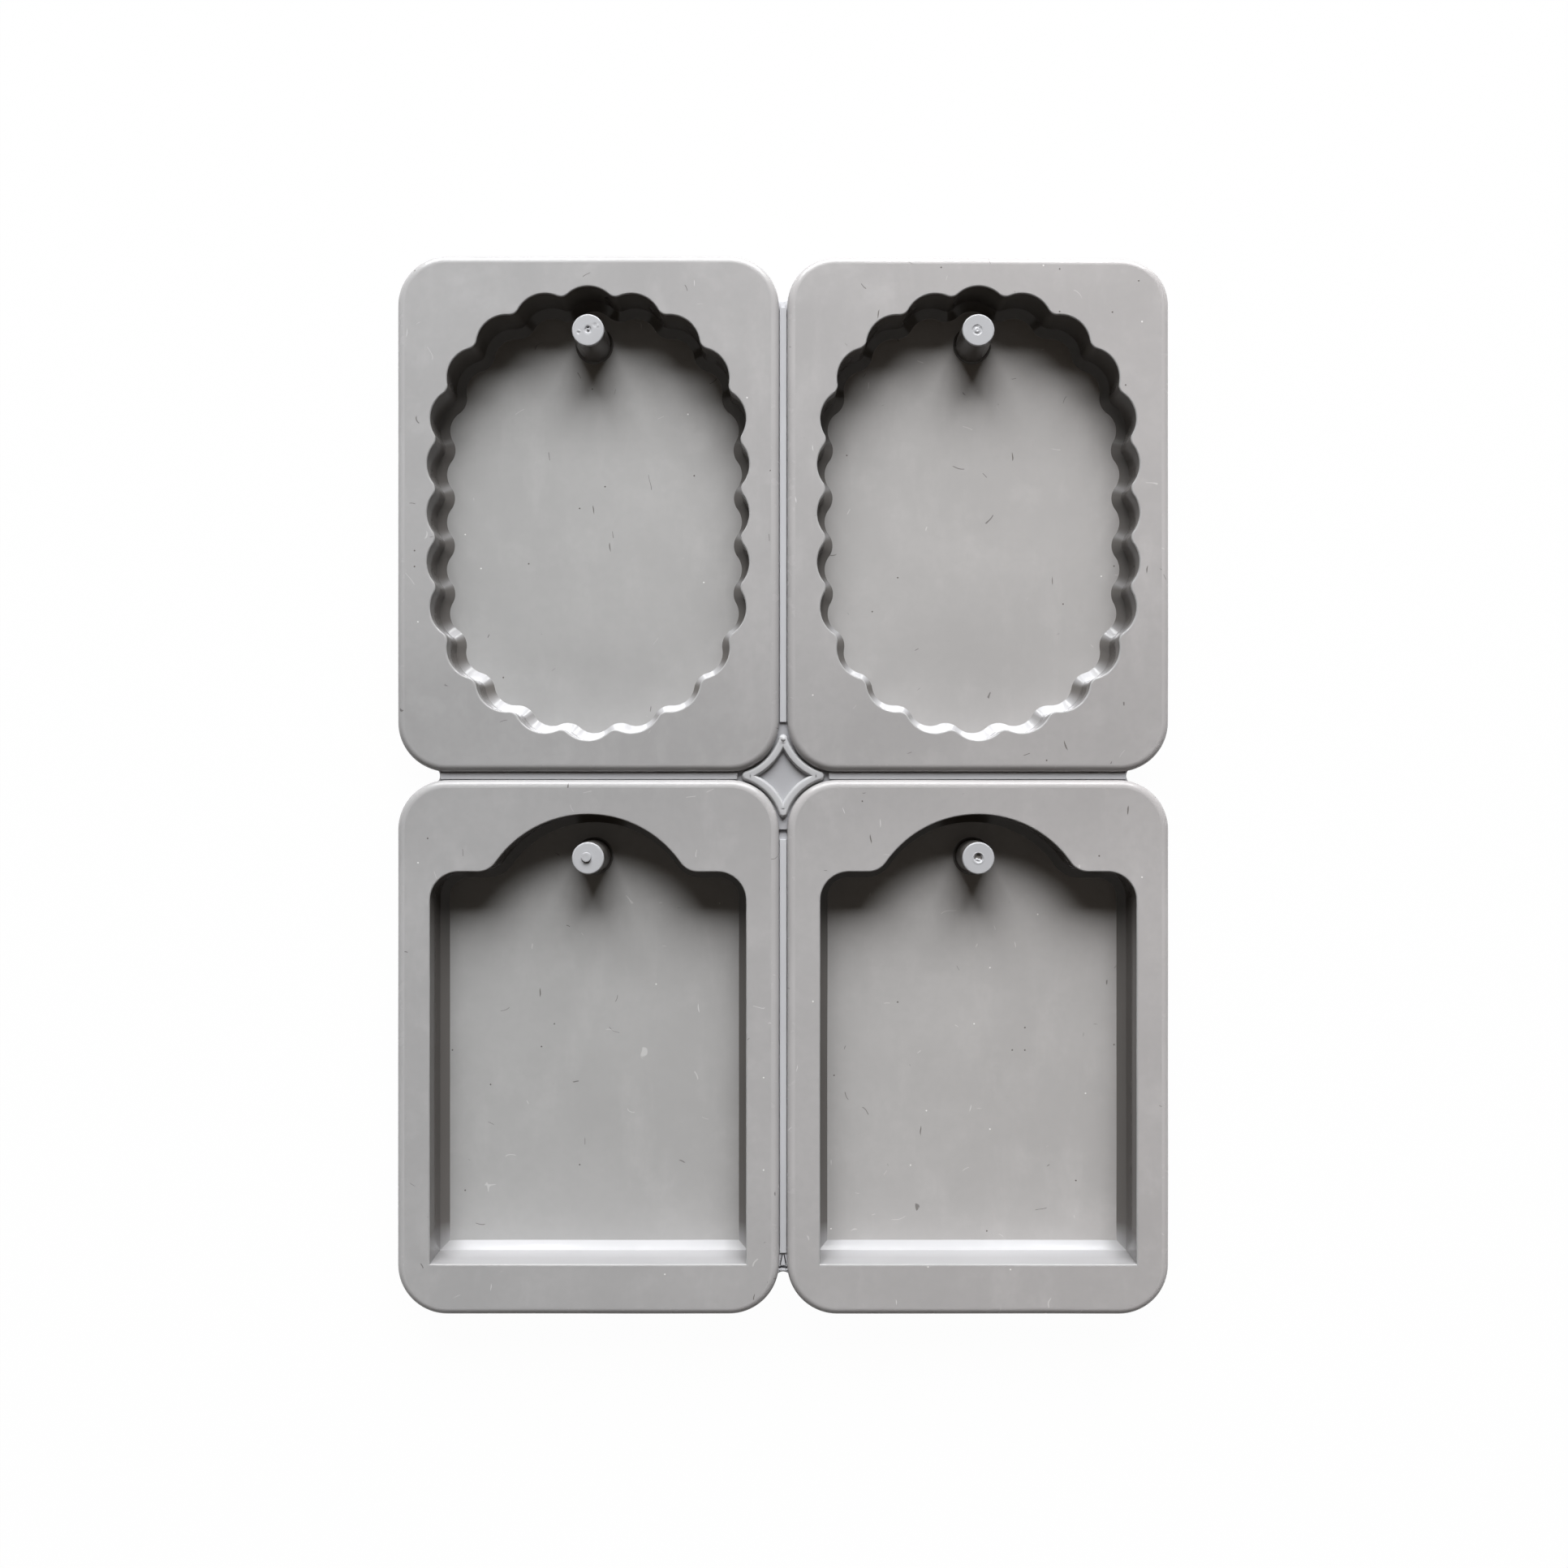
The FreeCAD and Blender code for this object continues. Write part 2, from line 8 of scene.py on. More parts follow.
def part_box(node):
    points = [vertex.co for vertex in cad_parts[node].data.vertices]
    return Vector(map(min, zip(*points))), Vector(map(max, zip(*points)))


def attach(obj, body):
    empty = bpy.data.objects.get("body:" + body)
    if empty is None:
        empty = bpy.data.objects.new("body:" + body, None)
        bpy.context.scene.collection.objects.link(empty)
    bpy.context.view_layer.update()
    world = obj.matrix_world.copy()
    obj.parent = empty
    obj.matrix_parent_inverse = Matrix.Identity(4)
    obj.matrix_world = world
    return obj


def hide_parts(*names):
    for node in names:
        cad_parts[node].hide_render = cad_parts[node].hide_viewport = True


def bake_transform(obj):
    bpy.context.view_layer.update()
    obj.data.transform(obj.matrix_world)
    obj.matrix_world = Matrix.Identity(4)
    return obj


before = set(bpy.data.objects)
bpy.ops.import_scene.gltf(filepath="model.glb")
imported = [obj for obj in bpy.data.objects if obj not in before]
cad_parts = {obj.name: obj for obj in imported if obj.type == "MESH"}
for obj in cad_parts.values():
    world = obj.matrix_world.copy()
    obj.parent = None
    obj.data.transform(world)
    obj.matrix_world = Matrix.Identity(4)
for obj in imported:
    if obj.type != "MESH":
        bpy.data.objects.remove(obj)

scene = bpy.context.scene
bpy.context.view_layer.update()  # brings the imported parts' places up to date
mm = 0.001  # outlines are walked in millimetres, and meshes are in metres
noise.seed_set(5)  # otherwise the waves in the outlines differ from run to run
print("frame loaded")


def nodeBox(name):
    low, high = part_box(name)
    return low / mm, high / mm


# Where the four trays meet, and the levels that all pieces share, in millimetres
ovalLow, ovalHigh = nodeBox("oval_tray_right")
archedLow, archedHigh = nodeBox("arched_tray_right")
webLow, webHigh = nodeBox("upper_web")
pinLow = nodeBox("oval_pin_right")[0]
crossY = (ovalLow.y + archedHigh.y) / 2
layout = {
    "gap": 2 * ovalLow.x,
    "rimLevel": ovalHigh.z,
    "webLevel": webLow.z,
    "webTop": webHigh.z,
    "floorLevel": pinLow.z,
    "cornerRadius": 11.5,
}


def say(text):
    print("stage:", text)


# Materials

siliconeTints = {   # tint, roughness, share of marks, seed
    "rim": ((0.408, 0.403, 0.404), 0.4, 1.0, 0.0),
    "floor": ((0.412, 0.409, 0.406), 0.32, 0.8, 1.7),
    # painted shade: a darker copy of the silicone for the cavity walls, bevels and pin sides
    "wall": ((0.14, 0.131, 0.124), 0.11, 0.1, 2.6),
    "lip": ((0.408, 0.403, 0.404), 0.15, 0.1, 4.4),
    # painted highlight: a lighter copy of the silicone for the outer rim rounding
    "edge": ((0.452, 0.446, 0.448), 0.24, 0.4, 8.9),
    # painted light: a lighter copy of the silicone for the pin tops
    "pin": ((0.48, 0.483, 0.5), 0.22, 0.15, 5.3),
    # painted highlight: a lighter copy of the silicone for the star's rib
    "rib": ((0.49, 0.49, 0.5), 0.2, 0.1, 6.2),
    "panel": ((0.395, 0.395, 0.412), 0.3, 0.2, 9.8),
    # painted light: lighter copies of the silicone for the strips and webs
    "strip": ((0.51, 0.512, 0.53), 0.3, 0.2, 7.7),
    "web": ((0.53, 0.53, 0.55), 0.3, 0.2, 3.1),
}
siliconeLook = {
    "ior": 1.41,
    "footWallLight": (3.48, 3.7, 4.0),    # painted light: times the tint, on walls that look up the mould towards the window
    "rightLight": (1.1, 1.07, 1.06),  # painted light: times the tint, lighter towards the right hand edge
    "rightLightX": (-0.09, 0.09),
    "midShade": (0.87, 0.87, 0.87),   # painted shade: times the tint, a darker band across the lower ends of the oval trays
    "midShadeY": (-0.035, 0.012, 0.062),
    "mottle": (38.0, 3.0, 0.3, 0.7),  # scale, detail, where it starts and where it is full
    "mottleTints": (0.96, 1.035),
    # soft patches: scale, detail, offset, roughness, where they start and are full, times the tint, share
    "patches": {
        "smudge": (95.0, 4.0, 0.21, 0.6, 0.52, 0.72, 1.12, 0.45),
        "wisps": (120.0, 5.0, 0.6, 0.62, 0.5, 0.75, 1.15, 0.5),
        "dust": (475.0, 3.0, 0.4, 0.5, 0.35, 0.7, 0.9, 0.25),
    },
    "wispTurn": 0.6,
    "wispStretch": 0.3,
    "smudgeRough": (0.4, 0.09),      # middle and strength of what a smudge does to the roughness
    "dustRough": 0.05,
    "bumps": ((60.0, 0.7, 0.5, 0.00022), (2600.0, 0.9, 0.35, 0.000012)),  # scale, offset, strength, distance
    "markedFrom": 0.2,               # a silicone with a larger share of marks has them one by one, and also gets the painted light at the right and the painted shade across the middle
    "markBump": (0.5, 0.00006),
    "lintScale": 370.0,
    "lintStretch": 0.13,
    "lintBend": 0.0022,
    "hairScale": 75.0,
    "hairThin": 0.0042,
    "hairSpots": 3.5,                # times the hairs' scale
    "hairKept": (0.745, 0.775),
}
siliconeMarks = [   # kind, colour, strength, then for each stroke:
    ("hair", (0.06, 0.05, 0.045), 0.6, [(0.39,)]),                       # offset
    ("hair", (0.85, 0.85, 0.84), 0.3, [(1.4,)]),
    ("dot", (0.07, 0.06, 0.05), 0.85, [(330.0, 0.08, 0.011, 0.1)]),      # scale, size, share, offset
    ("dot", (0.9, 0.9, 0.89), 0.75, [(264.0, 0.065, 0.014, 0.3)]),
    ("lint", (0.09, 0.08, 0.07), 0.75, [(1.05, 0.06, 0.013, 0.05), (-0.5, 0.06, 0.009, 0.15)]),
    ("lint", (0.82, 0.82, 0.82), 0.5, [(-1.3, 0.05, 0.012, 0.45), (0.3, 0.05, 0.009, 0.25)]),
]                                                                        # turn, thickness, share, offset


def addNode(tree, kind, **settings):
    node = tree.nodes.new(kind)
    for key, setting in settings.items():
        if key in node.inputs:
            node.inputs[key].default_value = setting
        else:
            setattr(node, key, setting)
    return node


def ramp(tree, source, low, high, fromValue=0.0, toValue=1.0):
    node = tree.nodes.new("ShaderNodeMapRange")
    node.clamp = True
    node.interpolation_type = "SMOOTHSTEP"
    for key, setting in (("From Min", low), ("From Max", high), ("To Min", fromValue), ("To Max", toValue)):
        node.inputs[key].default_value = setting
    tree.links.new(source, node.inputs["Value"])
    return node.outputs["Result"]


def sums(tree, operation, first, second):
    node = addNode(tree, "ShaderNodeMath", operation=operation)
    for slot, value in enumerate((first, second)):
        if isinstance(value, (int, float)):
            node.inputs[slot].default_value = value
        else:
            tree.links.new(value, node.inputs[slot])
    return node.outputs[0]


def layer(tree, under, over, amount, blend="MIX"):
    node = addNode(tree, "ShaderNodeMix", data_type="RGBA", blend_type=blend)
    for socket, value in (("Factor", amount), ("A", under), ("B", over)):
        places = [s for s in node.inputs if s.name == socket and s.type in ("RGBA", "VALUE")]
        place = places[0] if socket == "Factor" else [s for s in places if s.type == "RGBA"][0]
        if isinstance(value, (int, float)):
            place.default_value = value
        elif isinstance(value, tuple):
            place.default_value = (*value, 1)
        else:
            tree.links.new(value, place)
    return [s for s in node.outputs if s.type == "RGBA"][0]


def noiseOf(tree, place, scale, detail=2.0, offset=0.0, roughness=0.5):
    mapping = addNode(tree, "ShaderNodeMapping", Location=(offset, offset * 0.7, offset * 0.3))
    tree.links.new(place, mapping.inputs["Vector"])
    node = addNode(tree, "ShaderNodeTexNoise", Scale=scale, Detail=detail, Roughness=roughness)
    tree.links.new(mapping.outputs[0], node.inputs["Vector"])
    return node.outputs["Fac"]


def markCells(tree, vector, scale, size, share, channel):  # round spots in some cells
    cells = addNode(tree, "ShaderNodeTexVoronoi", voronoi_dimensions="2D", Scale=scale, Randomness=1.0)
    tree.links.new(vector, cells.inputs["Vector"])
    chosen = addNode(tree, "ShaderNodeSeparateColor")
    tree.links.new(cells.outputs["Color"], chosen.inputs[0])
    near = ramp(tree, cells.outputs["Distance"], size * 0.5, size, 1.0, 0.0)
    return sums(tree, "MULTIPLY", near, sums(tree, "LESS_THAN", chosen.outputs[channel], share))


def dotsOf(tree, place, scale, size, share, offset):
    mapping = addNode(tree, "ShaderNodeMapping", Location=(offset, -offset, 0))
    tree.links.new(place, mapping.inputs["Vector"])
    return markCells(tree, mapping.outputs[0], scale, size, share, 0)


def lintOf(tree, place, turn, thin, share, offset):  # spots in a bent and stretched place
    look = siliconeLook
    scale = look["lintScale"]
    bend = addNode(tree, "ShaderNodeTexNoise", Scale=scale * 0.6, Detail=1.0)
    tree.links.new(place, bend.inputs["Vector"])
    shift = addNode(tree, "ShaderNodeVectorMath", operation="MULTIPLY_ADD")
    tree.links.new(bend.outputs["Color"], shift.inputs[0])
    shift.inputs[1].default_value = (look["lintBend"], look["lintBend"], 0)
    tree.links.new(place, shift.inputs[2])
    mapping = addNode(tree, "ShaderNodeMapping", Location=(offset, offset, 0), Rotation=(0, 0, turn),
                      Scale=(1, look["lintStretch"], 1))
    tree.links.new(shift.outputs[0], mapping.inputs["Vector"])
    return markCells(tree, mapping.outputs[0], scale, thin, share, 1)


def hairsOf(tree, place, offset):  # thin level lines of a slow noise, kept in a few spots
    look = siliconeLook
    scale, thin = look["hairScale"], look["hairThin"]
    away = sums(tree, "SUBTRACT", noiseOf(tree, place, scale, 1.0, offset), 0.5)
    near = ramp(tree, sums(tree, "ABSOLUTE", away, 0), thin * 0.5, thin, 1.0, 0.0)
    spots = noiseOf(tree, place, scale * look["hairSpots"], 0.0, offset + 0.5)
    return sums(tree, "MULTIPLY", near, ramp(tree, spots, *look["hairKept"]))


def markOf(tree, place, kind, strokes, dirt, seed):
    mask = None
    for *sizes, offset in strokes:
        if kind == "hair":
            drawn = hairsOf(tree, place, seed + offset)
        else:
            first, second, share = sizes
            draw = dotsOf if kind == "dot" else lintOf
            drawn = draw(tree, place, first, second, share * dirt, seed + offset)
        mask = drawn if mask is None else sums(tree, "MAXIMUM", mask, drawn)
    return mask


def bumpOf(tree, height, strength, distance, normal=None):
    node = addNode(tree, "ShaderNodeBump", Strength=strength, Distance=distance)
    tree.links.new(height, node.inputs["Height"])
    if normal:
        tree.links.new(normal, node.inputs["Normal"])
    return node.outputs[0]


def shade(tint, times):
    return tuple(channel * times for channel in tint)


def siliconeOf(part, tint, roughness, dirt, seed):
    look = siliconeLook
    material = bpy.data.materials.new(f"{part}Silicone")
    material.use_nodes = True
    tree = material.node_tree
    shader = tree.nodes["Principled BSDF"]
    shader.inputs["IOR"].default_value = look["ior"]
    place = addNode(tree, "ShaderNodeTexCoord").outputs["Object"]
    streaks = addNode(tree, "ShaderNodeMapping", Rotation=(0, 0, look["wispTurn"]),
                      Scale=(1, look["wispStretch"], 1))
    tree.links.new(place, streaks.inputs["Vector"])

    scale, detail, low, high = look["mottle"]
    mottle = ramp(tree, noiseOf(tree, place, scale, detail, seed), low, high)
    colour = layer(tree, *(shade(tint, times) for times in look["mottleTints"]), mottle)
    patches = {}
    for patch, (scale, detail, offset, grain, low, high, times, share) in look["patches"].items():
        source = streaks.outputs[0] if patch == "wisps" else place
        patches[patch] = ramp(tree, noiseOf(tree, source, scale, detail, seed + offset, grain), low, high)
        colour = layer(tree, colour, shade(tint, times), sums(tree, "MULTIPLY", patches[patch], share * dirt))

    middle, strength = look["smudgeRough"]
    smudged = sums(tree, "MULTIPLY", sums(tree, "SUBTRACT", patches["smudge"], middle), strength * dirt)
    dusty = sums(tree, "MULTIPLY", patches["dust"], look["dustRough"])
    rough = sums(tree, "ADD", sums(tree, "ADD", roughness, smudged), dusty)

    normal = None
    for scale, offset, strength, distance in look["bumps"]:
        normal = bumpOf(tree, noiseOf(tree, place, scale, 2.0, seed + offset), strength, distance, normal)
    if dirt > look["markedFrom"]:
        raised = {}
        for kind, markColour, strength, strokes in siliconeMarks:
            mask = markOf(tree, place, kind, strokes, dirt, seed)
            colour = layer(tree, colour, markColour, sums(tree, "MULTIPLY", mask, strength))
            if kind != "hair":
                raised[kind] = sums(tree, "MAXIMUM", raised[kind], mask) if kind in raised else mask
        normal = bumpOf(tree, sums(tree, "ADD", raised["dot"], raised["lint"]), *look["markBump"], normal)
        apart = addNode(tree, "ShaderNodeSeparateXYZ")
        tree.links.new(place, apart.inputs[0])
        # painted light: lighter towards the right hand edge
        rightLightShare = ramp(tree, apart.outputs["X"], *look["rightLightX"])
        colour = layer(tree, colour, look["rightLight"], rightLightShare, "MULTIPLY")
        # painted shade: a darker band across the lower ends of the oval trays
        low, middle, high = look["midShadeY"]
        band = sums(tree, "MULTIPLY", ramp(tree, apart.outputs["Y"], low, middle),
                    ramp(tree, apart.outputs["Y"], middle, high, 1.0, 0.0))
        colour = layer(tree, colour, look["midShade"], band, "MULTIPLY")
    # painted light: walls that face the window up the mould get a lighter tint
    if part == "wall":
        litWall = addNode(tree, "ShaderNodeAttribute", attribute_name="wallLightShare")
        colour = layer(tree, colour, look["footWallLight"], litWall.outputs["Fac"], "MULTIPLY")
    tree.links.new(colour, shader.inputs["Base Color"])
    tree.links.new(rough, shader.inputs["Roughness"])
    tree.links.new(normal, shader.inputs["Normal"])
    return material


silicones = {part: siliconeOf(part, *values) for part, values in siliconeTints.items()}
say("materials")


# Shared modelling steps: outlines are walked in millimetres and closed, then stepped in, ring by ring

def arc(bm, vert, centre, degrees, steps):
    made = bmesh.ops.spin(bm, geom=[vert], cent=(centre[0], centre[1], vert.co.z), axis=(0, 0, 1),
                          angle=math.radians(degrees), steps=steps, use_merge=False, use_duplicate=False)
    return [item for item in made["geom_last"] if isinstance(item, bmesh.types.BMVert)][0]


def line(bm, vert, x, y, steps=1):
    step = Vector((x - vert.co.x, y - vert.co.y, 0)) / steps
    for _ in range(steps):
        vert = bmesh.ops.extrude_vert_indiv(bm, verts=[vert])["verts"][0]
        bmesh.ops.translate(bm, verts=[vert], vec=step)
    return vert


def unique(items):  # in their own order, so that every run is the same
    return list(dict.fromkeys(items))


def closed(bm, walk):
    before = set(bm.edges)
    walk(bm)
    made = [edge for edge in bm.edges if edge not in before]
    bmesh.ops.remove_doubles(bm, verts=unique(v for edge in made for v in edge.verts), dist=0.02)
    made = [edge for edge in bm.edges if edge not in before]
    return bmesh.ops.contextual_create(bm, geom=made)["faces"][0]


def ring(bm, face, inwards, level, material=0):  # one step inwards, and to a level
    made = bmesh.ops.inset_region(bm, faces=[face], thickness=inwards, use_boundary=True,
                                  use_even_offset=True)
    for side in made["faces"]:
        side.material_index = material
    bmesh.ops.translate(bm, verts=face.verts[:], vec=(0, 0, level - face.verts[0].co.z))
    face.material_index = material


def quarter(steps):  # each step of a quarter turn: from one angle to the next
    return [(math.pi / 2 * i / steps, math.pi / 2 * (i + 1) / steps) for i in range(steps)]


def clamped(value):
    return min(1.0, max(0.0, value))


def smooth(share):
    return share * share * (3 - 2 * share)


def openEdges(bm, known=()):
    return [edge for edge in bm.edges if edge.is_boundary and edge not in known]


sharpFrom = math.radians(32)


def finished(name, bm, parts, body):  # in metres, sharp where faces turn by a large angle
    bmesh.ops.recalc_face_normals(bm, faces=bm.faces[:])
    bmesh.ops.scale(bm, vec=(mm, mm, mm), verts=bm.verts[:])
    for edge in bm.edges:
        edge.smooth = len(edge.link_faces) == 2 and edge.calc_face_angle() < sharpFrom
    for face in bm.faces:
        face.smooth = True
    mesh = bpy.data.meshes.new(name)
    bm.to_mesh(mesh)
    bm.free()
    for part in parts:
        mesh.materials.append(silicones[part])
    piece = bpy.data.objects.new(name, mesh)
    scene.collection.objects.link(piece)
    if body:
        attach(piece, body)
    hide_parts(name)
    return piece


# Trays

trayValues = {
    "edgeSlack": 0.06,       # the outside stands this far inside the CAD box, and wanders as far
    "longSideSteps": 40,
    "shortSideSteps": 30,
    "cornerSteps": 18,
    "rimRound": 1.6,
    "rimRoundWidth": 1.8,
    "rimSteps": 9,
    "support": 0.15,         # a narrow flat ring beside each rounding, which keeps its shading
    "lipRound": 0.34,
    "lipSteps": 5,
    "collarHeight": 5.0,
    "skirtDraft": 2.8,
    "skirtSteps": 4,
    "footRound": 0.6,
    "footSteps": 5,
    "bevel": 2.0,
    "bevelHeight": 1.42,
    "bevelRound": 0.3,
    "bevelSteps": 4,
    "wander": 0.06,
    "wanderScale": 0.035,
    "dropBand": 6.4,         # only this much of the head end is lowered by a tray's drop
    "lightFrom": 0.25,        # a wall that looks this much up the mould, towards the window, begins to get painted light as a foot wall
    "lightRange": 0.73,
    "uprightLightShare": 0.76,       # of the foot walls' painted light, where they stand upright
}
scallopValues = {
    "sideRim": 6.6,
    "endRim": 7.0,
    "lobes": 24,
    "lobeRadius": 7.4,
    "cuspRadius": 2.0,
    "pitchInset": 3.95,
    "lobeSteps": 16,
    "cuspSteps": 9,
}
archValues = {
    "sideRim": 7.3,
    "headRim": 7.7,
    "footRim": 11.5,
    "archRadius": 26.3,
    "archRise": 13.2,
    "hollowRadius": 4.7,
    "shoulderRadius": 7.0,
    "sideSteps": 12,
    "shoulderSteps": 18,
    "hollowSteps": 12,
    "headSteps": 60,
}


def stationOf(distance, radius, halfStraight):  # centre point and outward direction, clockwise from the head
    bend = math.pi / 2 * radius
    lap = 4 * (bend + halfStraight)
    side, run = (1, distance) if distance <= lap / 2 else (-1, lap - distance)
    if run < bend:
        angle, base = run / radius, halfStraight
    elif run < bend + 2 * halfStraight:
        angle, base = math.pi / 2, halfStraight + bend - run
    else:
        angle, base = (run - 2 * halfStraight) / radius, -halfStraight
    return Vector((0, base)), Vector((side * math.sin(angle), math.cos(angle)))


def sweep(start, end, centre, clockwise):  # degrees from start to end
    a = math.atan2(start.y - centre.y, start.x - centre.x)
    b = math.atan2(end.y - centre.y, end.x - centre.x)
    turn = math.degrees(b - a)
    return -(-turn % 360) if clockwise else turn % 360


def scallopWalk(width, length, level, grow):
    v = scallopValues
    radius = width / 2 - v["sideRim"]
    halfStraight = length / 2 - v["endRim"] - radius
    pitchRadius = radius - v["pitchInset"]
    pitch = (2 * math.pi * pitchRadius + 4 * halfStraight) / v["lobes"]
    lobe, cusp = v["lobeRadius"], v["cuspRadius"]
    centres = []
    for i in range(v["lobes"]):
        base, outwards = stationOf(i * pitch, pitchRadius, halfStraight)
        centres.append(base + outwards * (radius - lobe))
    tips = []
    for here, after in zip(centres, centres[1:] + centres[:1]):
        across = (after - here) / 2
        outwards = Vector((-across.y, across.x)).normalized()
        tips.append(here + across + outwards * math.sqrt((lobe + cusp) ** 2 - across.length_squared))

    def walk(bm):
        entry = centres[0] + (tips[-1] - centres[0]).normalized() * (lobe + grow)
        vert = bm.verts.new((*entry, level))
        for i, centre in enumerate(centres):
            tip, following = tips[i], centres[(i + 1) % len(centres)]
            start = centre + (tips[i - 1] - centre).normalized() * lobe
            leave = centre + (tip - centre).normalized() * lobe
            enter = following + (tip - following).normalized() * lobe
            vert = arc(bm, vert, centre, sweep(start, leave, centre, True), v["lobeSteps"])
            vert = arc(bm, vert, tip, sweep(leave, enter, tip, False), v["cuspSteps"])
    return walk


def archWalk(width, length, level, grow):
    v = archValues
    half = width / 2 - v["sideRim"] + grow
    foot, apex = v["footRim"] - length / 2 - grow, length / 2 - v["headRim"]
    arch, hollow, shoulder = v["archRadius"] + grow, v["hollowRadius"] - grow, v["shoulderRadius"] + grow
    shoulderY = apex - v["archRise"] + grow
    archY = apex - v["archRadius"]
    hollowY = shoulderY + hollow
    hollowX = math.sqrt((arch + hollow) ** 2 - (hollowY - archY) ** 2)
    lean = math.degrees(math.atan2(hollowY - archY, hollowX))

    def walk(bm):
        vert = bm.verts.new((-half, foot, level))
        vert = line(bm, vert, half, foot, v["sideSteps"])
        vert = line(bm, vert, half, shoulderY - shoulder, v["sideSteps"])
        vert = arc(bm, vert, (half - shoulder, shoulderY - shoulder), 90, v["shoulderSteps"])
        vert = line(bm, vert, hollowX, shoulderY)
        vert = arc(bm, vert, (hollowX, hollowY), lean - 90, v["hollowSteps"])
        vert = arc(bm, vert, (0, archY), 180 - 2 * lean, v["headSteps"])
        vert = arc(bm, vert, (-hollowX, hollowY), lean - 90, v["hollowSteps"])
        vert = line(bm, vert, shoulder - half, shoulderY)
        vert = arc(bm, vert, (shoulder - half, shoulderY - shoulder), 90, v["shoulderSteps"])
        line(bm, vert, -half, foot, v["sideSteps"])
    return walk


def blockWalk(width, length, level, radius):
    v = trayValues
    x, y = width / 2, length / 2

    def walk(bm):
        vert = bm.verts.new((x, radius - y, level))
        for sx, sy in ((1, 1), (-1, 1), (-1, -1), (1, -1)):
            if sx == sy:
                vert = line(bm, vert, sx * x, sy * (y - radius), v["longSideSteps"])
            else:
                vert = line(bm, vert, sx * (x - radius), sy * y, v["shortSideSteps"])
            vert = arc(bm, vert, (sx * (x - radius), sy * (y - radius)), 90, v["cornerSteps"])
    return walk


def trayOutside(bm, width, length):  # rounded rim edge, drafted skirt and foot; the rim is left open
    v = trayValues
    rim, collar = layout["rimLevel"], layout["rimLevel"] - v["collarHeight"]
    block = closed(bm, blockWalk(width, length, collar, layout["cornerRadius"] - v["edgeSlack"]))
    ring(bm, block, 0, rim - v["rimRound"])
    outline = openEdges(bm)
    for a, b in quarter(v["rimSteps"]):
        level = rim - v["rimRound"] * (1 - math.sin(b))
        ring(bm, block, v["rimRoundWidth"] * (math.cos(a) - math.cos(b)), level, 4)
    ring(bm, block, v["support"], rim)
    rimEdges = block.edges[:]
    bmesh.ops.delete(bm, geom=[block], context="FACES_ONLY")
    skirtTop = bmesh.ops.extrude_edge_only(bm, edges=outline)["geom"]
    skirtEdges = [item for item in skirtTop if isinstance(item, bmesh.types.BMEdge)]
    skirtVerts = unique(vert for edge in skirtEdges for vert in edge.verts)
    bmesh.ops.translate(bm, verts=skirtVerts, vec=(0, 0, -v["support"]))
    under = bmesh.ops.contextual_create(bm, geom=skirtEdges)["faces"][0]
    skirtRun = collar - v["support"] - v["footRound"]
    inset = skirtRun / v["skirtSteps"] * math.tan(math.radians(v["skirtDraft"]))
    for i in range(v["skirtSteps"]):
        ring(bm, under, inset, v["footRound"] + skirtRun * (1 - (i + 1) / v["skirtSteps"]))
    for a, b in quarter(v["footSteps"]):
        ring(bm, under, v["footRound"] * (math.cos(a) - math.cos(b)), v["footRound"] * (1 - math.sin(b)))
    ring(bm, under, v["support"], 0)
    return rimEdges


def trayCavity(bm, outline, known):  # lip, wall, bevel and floor; slots 3, 1, 1 and 2
    v = trayValues
    rim, floor = layout["rimLevel"], layout["floorLevel"]
    inner = closed(bm, outline)
    ring(bm, inner, v["support"], rim)
    rimEdges = openEdges(bm, known)
    for a, b in quarter(v["lipSteps"]):
        level = rim - v["lipRound"] * (1 - math.cos(b))
        ring(bm, inner, v["lipRound"] * (math.sin(b) - math.sin(a)), level, 3)
    lean = math.atan2(v["bevelHeight"], v["bevel"])
    fillet, steps = v["bevelRound"], v["bevelSteps"]
    bevelTop = floor + v["bevelHeight"]
    wallTurn = math.pi / 2 - lean
    # what the two roundings take off the bevel
    wallCut, floorCut = fillet * math.tan(wallTurn / 2), fillet * math.tan(lean / 2)
    ring(bm, inner, 0, (rim + bevelTop) / 2, 1)
    ring(bm, inner, 0, bevelTop + wallCut, 1)
    for i in range(1, steps + 1):
        a, b = wallTurn * (i - 1) / steps, wallTurn * i / steps
        ring(bm, inner, fillet * (math.cos(a) - math.cos(b)), bevelTop + wallCut - fillet * math.sin(b), 1)
    slope = v["bevel"] - (wallCut + floorCut) * math.cos(lean)
    top, foot = bevelTop - wallCut * math.sin(lean), floor + floorCut * math.sin(lean)
    ring(bm, inner, slope / 2, (top + foot) / 2, 1)
    ring(bm, inner, slope / 2, foot, 1)
    for i in range(1, steps + 1):
        a, b = lean * (steps + 1 - i) / steps, lean * (steps - i) / steps
        level = floor + fillet * (1 - math.cos(b))
        ring(bm, inner, fillet * (math.sin(a) - math.sin(b)), level, 2 if i > steps / 2 else 1)
    ring(bm, inner, v["support"], floor, 2)
    return rimEdges


def wandered(bm, middle, width, length, seed, drop):  # slight waves in the outlines, and a lower head end
    v = trayValues
    slack = v["edgeSlack"]
    for vert in bm.verts:
        spot = Vector((vert.co.x + middle.x, vert.co.y + middle.y, vert.co.z)) * v["wanderScale"]
        shift = noise.noise_vector(spot + Vector((seed, 0, 0))) * v["wander"]
        vert.co.x += max(-slack, min(slack, shift.x))
        vert.co.y += max(-slack, min(slack, shift.y))
        band = clamped((vert.co.y - length / 2) / v["dropBand"] + 1)
        vert.co.y -= band * (drop[0] + (drop[1] - drop[0]) * (vert.co.x / width + 0.5))


